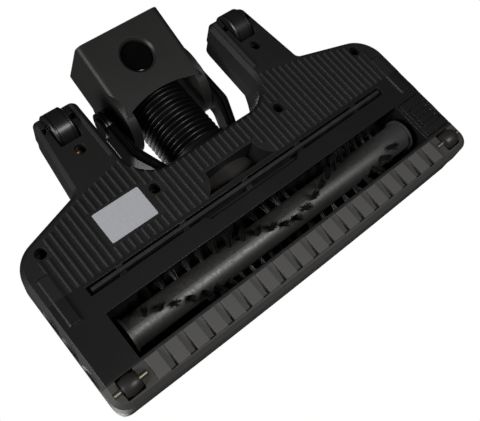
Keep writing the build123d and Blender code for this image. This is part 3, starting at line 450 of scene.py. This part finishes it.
# %% Where the tufts stand
def islands(mesh):
    """The corners of each loose part of a mesh."""
    bm = bmesh.new()
    bm.from_mesh(mesh)
    bmesh.ops.remove_doubles(bm, verts=bm.verts, dist=1e-6)
    left = set(bm.verts)
    groups = []
    for start in bm.verts:
        if start not in left:
            continue
        left.remove(start)
        front = [start]
        group = []
        while front:
            vert = front.pop()
            group.append(vert.co.copy())
            near = {edge.other_vert(vert) for edge in vert.link_edges} & left
            left -= near
            front.extend(near)
        groups.append(group)
    bm.free()
    return groups


def middle(points):
    return sum(points, Vector()) / len(points)


brush_joint = next(j for j in frame["joints"] if j["name"] == "brush_spin")
brush_axis = Vector(brush_joint["pos_m"])
tufts = []
for rod in islands(frame["nodes"]["bristle_tufts"].data):
    rod.sort(key=lambda p: (p.yz - brush_axis.yz).length)
    half = len(rod) // 2
    tufts.append((middle(rod[:half]), middle(rod[half:])))
print("tufts:", len(tufts), "length in mm:", round((tufts[0][1] - tufts[0][0]).length / MM, 2))

# %% Bundle of threads
BUNDLES = 4
THREADS = 60
THREAD_R = 0.19 * MM
ROOT_R = 1.15 * MM
SPLAY = 2.4 * MM


def thread_bundle(length, seed):
    """Thin cones from a round root, which spread towards their tips."""
    rng = random.Random(seed)
    bm = bmesh.new()
    for _ in range(THREADS):
        turn, reach = rng.uniform(0, 2 * math.pi), math.sqrt(rng.random())
        root = Vector((math.cos(turn), math.sin(turn), 0)) * reach
        tall = length * rng.uniform(0.93, 1.0)
        cone = bmesh.ops.create_cone(
            bm, segments=4, radius1=THREAD_R, radius2=0.5 * THREAD_R, depth=tall, cap_ends=True
        )
        lean = root * SPLAY * rng.uniform(0.5, 1.0)
        for vert in cone["verts"]:
            share = max(0, vert.co.z / tall + 0.5)
            vert.co += root * ROOT_R * (1 - 0.3 * share) + lean * share ** 1.6 + Vector((0, 0, tall / 2))
    mesh = bpy.data.meshes.new("bundle")
    bm.to_mesh(mesh)
    bm.free()
    return mesh


def bristles():
    bm = bmesh.new()
    length = (tufts[0][1] - tufts[0][0]).length
    bundles = [thread_bundle(length, seed) for seed in range(BUNDLES)]
    for count, (root, tip) in enumerate(tufts):
        before = len(bm.verts)
        bm.from_mesh(bundles[count % BUNDLES])
        bm.verts.ensure_lookup_table()
        turn = (tip - root).to_track_quat("Z", "X").to_matrix().to_4x4()
        bmesh.ops.transform(bm, matrix=Matrix.Translation(root) @ turn, verts=bm.verts[before:])
    for mesh in bundles:
        bpy.data.meshes.remove(mesh)
    return bm


brush_bristles = finish_piece(bristles(), "brush_bristles", "brush", FINISHES["bristle"], 60)
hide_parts("bristle_tufts")

# %% [markdown]
# ## The corrugated hose
# The hose carries the dirt from the duct to the neck, and it is ribbed so that it can bend at the neck's
# hinge. Its wall is a wave that is turned round the hose's line. The wave is spun as a straight tube first
# and then laid along the bent line: straight out of the ring, a round bend, and straight into the neck.

# %% Hose line
tilt_joint = next(j for j in frame["joints"] if j["name"] == "neck_tilt")
PIVOT = Vector(tilt_joint["pos_m"])
NECK_DOWN = math.radians(14.5)
neck_way = Vector((0, math.cos(NECK_DOWN), -math.sin(NECK_DOWN)))
hose_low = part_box("hose")[0]
PIVOT_TO_END = 10.9 * MM
HOSE_START = Vector((0, hose_low.y, PIVOT.z))
HOSE_END = PIVOT + neck_way * PIVOT_TO_END
BEND_R = 75 * MM
BEND_TANGENT = BEND_R * math.tan(NECK_DOWN / 2)
BEND_ARC = BEND_R * NECK_DOWN
BEND_AT = (PIVOT - HOSE_START).length - BEND_TANGENT
HOSE_LENGTH = BEND_AT + BEND_ARC + (HOSE_END - PIVOT).length - BEND_TANGENT


def hose_place(run):
    """Point and turn at a given length along the hose's line."""
    if run <= BEND_AT:
        return HOSE_START + Vector((0, run, 0)), 0.0
    turn = min((run - BEND_AT) / BEND_R, NECK_DOWN)
    point = HOSE_START + Vector((0, BEND_AT, 0))
    point += BEND_R * Vector((0, math.sin(turn), math.cos(turn) - 1))
    return point + neck_way * max(0, run - BEND_AT - BEND_ARC), -turn


print("hose length in mm:", round(HOSE_LENGTH / MM, 1))


# %% Hose tube
RIB_R, DIP_R, BORE_R = 20.8 * MM, 18.6 * MM, 17.0 * MM
RIB_PITCH = 3.4 * MM
RIB_STEPS = 10
HOSE_SIDES = 72


def hose_tube():
    bm = bmesh.new()
    ribs = round(HOSE_LENGTH / RIB_PITCH)
    steps = RIB_STEPS * ribs
    wave = []
    for i in range(steps + 1):
        run = HOSE_LENGTH * i / steps
        lift = 0.5 + 0.5 * math.sin(2 * math.pi * (ribs * i / steps - 0.25))
        wave.append(bm.verts.new((0, run, DIP_R + (RIB_R - DIP_R) * lift ** 0.6)))
    inner = [bm.verts.new((0, HOSE_LENGTH, BORE_R)), bm.verts.new((0, 0, BORE_R))]
    line = wave + inner
    edges = [bm.edges.new(pair) for pair in zip(line, line[1:] + line[:1])]
    full = 2 * math.pi
    bmesh.ops.spin(
        bm, geom=line + edges, cent=(0, 0, 0), axis=(0, 1, 0), angle=full, steps=HOSE_SIDES, use_merge=True
    )
    for vert in bm.verts:
        point, turn = hose_place(vert.co.y)
        across = Matrix.Rotation(turn, 3, "X") @ Vector((vert.co.x, 0, vert.co.z))
        vert.co = point + across
    return bm


suction_hose = finish_piece(hose_tube(), "suction_hose", None, FINISHES["hose_rubber"], 50)
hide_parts("hose")
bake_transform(suction_hose)

# %% [markdown]
# ## The paper label
# A rating label sits on the smooth field beside the drive. It stays bare here: pale paper under a thin film,
# with a die-cut edge and a faint mottle. It is a thin slab, a tenth of a millimetre thick, with round
# corners, pressed against the sole from below.


# %% Label
def label_finish():
    finish = Finish("label_paper")
    mottle = finish.noise(1.5 * MM, 5.0)
    fibre = finish.noise(0.2 * MM, 2.0)
    finish.set(
        Base_Color=finish.tint(mottle, (0.38, 0.39, 0.41), (0.46, 0.47, 0.49)),
        Roughness=0.36 + mottle * 0.12,
        Normal=bump(finish, fibre, 0.02 * MM, 0.3),
    )
    return finish


LABEL_LOW = Vector((54.4, -25.1, 0)) * MM
LABEL_HIGH = Vector((84.8, -5.1, 0)) * MM
SOLE_Z = 5.0 * MM
LABEL_THICK = 0.12 * MM
LABEL_CORNER = 0.8 * MM


def label():
    bm = bmesh.new()
    size = LABEL_HIGH - LABEL_LOW
    place = Matrix.Translation((LABEL_LOW + LABEL_HIGH) / 2 + Vector((0, 0, SOLE_Z - LABEL_THICK / 2)))
    bmesh.ops.create_cube(bm, size=1, matrix=place @ Matrix.Diagonal((size.x, size.y, LABEL_THICK, 1)))
    upright = [e for e in bm.edges if abs(e.verts[0].co.z - e.verts[1].co.z) > 0.5 * LABEL_THICK]
    bmesh.ops.bevel(
        bm, geom=upright, offset=LABEL_CORNER, segments=5, profile=0.5, affect="EDGES", material=-1
    )
    return bm


finish_piece(label(), "rating_label", "head", label_finish())

# %% [markdown]
# ## Floor, light and background
# The picture has a white ground and soft light from several sides. The floor is pale, and because the camera
# looks from below it shows only its upper side: from below it is clear. It throws no shadow up, so the
# lower lamps reach the sole. The white behind the object comes from the world, for camera and mirror rays
# alone. All other rays see a dim room, which is brighter overhead for matt surfaces.


# %% Floor
FLOOR_HALF = 8.0
FLOOR_DROP = 0.2 * MM


def make_floor():
    bm = bmesh.new()
    bmesh.ops.create_grid(bm, x_segments=1, y_segments=1, size=FLOOR_HALF)
    bmesh.ops.translate(bm, vec=(0, 0, -FLOOR_DROP), verts=bm.verts)
    mesh = bpy.data.meshes.new("studio_floor")
    bm.to_mesh(mesh)
    bm.free()
    finish = Finish("studio_floor")
    finish.set(Base_Color=(0.80, 0.80, 0.80, 1), Roughness=0.9)
    behind = finish.node("ShaderNodeNewGeometry", {}, {}, "Backfacing")
    clear = finish.node("ShaderNodeBsdfTransparent", {}, {})
    solid = Value(finish, finish.shader.outputs[0])
    shown = finish.node("ShaderNodeMixShader", {}, {0: behind, 1: solid, 2: clear})
    finish.plug(finish.tree.nodes["Material Output"].inputs["Surface"], shown)
    mesh.materials.append(finish.material)
    floor = bpy.data.objects.new("studio_floor", mesh)
    bpy.context.scene.collection.objects.link(floor)
    floor.visible_shadow = False
    floor.visible_diffuse = False
    floor.visible_glossy = False


make_floor()
print("floor ready")

# %% World
BACKDROP = (0.94, 0.97)
LOW_LIGHT = 0.03
HIGH_LIGHT = 0.30
SKY_RISE = 0.3


def make_world():
    world = bpy.data.worlds.new("studio_world")
    bpy.context.scene.world = world
    world.use_nodes = True
    sky = Nodes(world.node_tree)
    rays = {}
    for kind in ("Camera", "Transmission", "Glossy", "Diffuse"):
        rays[kind] = sky.node("ShaderNodeLightPath", {}, {}, f"Is {kind} Ray")
    way = sky.node("ShaderNodeTexCoord", {}, {}, "Generated")
    height = sky.node("ShaderNodeSeparateXYZ", {}, {0: way}, "Z")
    behind = sky.ramp(sky.dot(way, VIEW_AHEAD), *BACKDROP)
    white = sky.ramp(rays["Camera"] + rays["Transmission"] + rays["Glossy"] * behind, 0, 1)
    overhead = sky.ramp(height * rays["Diffuse"], 0, SKY_RISE)
    room = LOW_LIGHT + overhead * (HIGH_LIGHT - LOW_LIGHT)
    back = world.node_tree.nodes["Background"]
    sky.plug(back.inputs["Color"], (1, 1, 1, 1))
    sky.plug(back.inputs["Strength"], room + white * (1 - room))


make_world()
print("world ready")


# %% [markdown]
# ## Lamps
# A lamp low at the picture's left grazes the sole, so that each rib gets a bright and a dark side. A weaker
# one in front reaches into the brush opening: it lights the lip and the fans of bristle, and draws the long
# highlight on the brush's core. Two more hang over the head for the views from above.


# %% Lamps
def lamp(name, place, target, size, power):
    data = bpy.data.lights.new(name, "AREA")
    data.shape = "SQUARE"
    data.size = size
    data.energy = power
    light = bpy.data.objects.new(name, data)
    bpy.context.scene.collection.objects.link(light)
    place, target = Vector(place), Vector(target)
    turn = (target - place).to_track_quat("-Z", "Y").to_matrix().to_4x4()
    light.matrix_world = Matrix.Translation(place) @ turn
    return light


HEAD_MIDDLE = (0, 0, 0.02)
lamp("key_below", (1.02, 0.02, -0.46), HEAD_MIDDLE, 0.36, 10.0)
lamp("front_below", (-0.20, -0.42, -0.78), HEAD_MIDDLE, 0.18, 4.2)
lamp("key_above", (-1.0, 1.0, 2.4), HEAD_MIDDLE, 1.4, 40.0)
lamp("fill_above", (1.2, -0.6, 2.4), HEAD_MIDDLE, 1.4, 26.0)
print("lamps ready")

# %% [markdown]
# ## The picture's look
# The picture is shown as it is computed, with no film look.

# %% Finish
bpy.context.scene.view_settings.view_transform = "Standard"
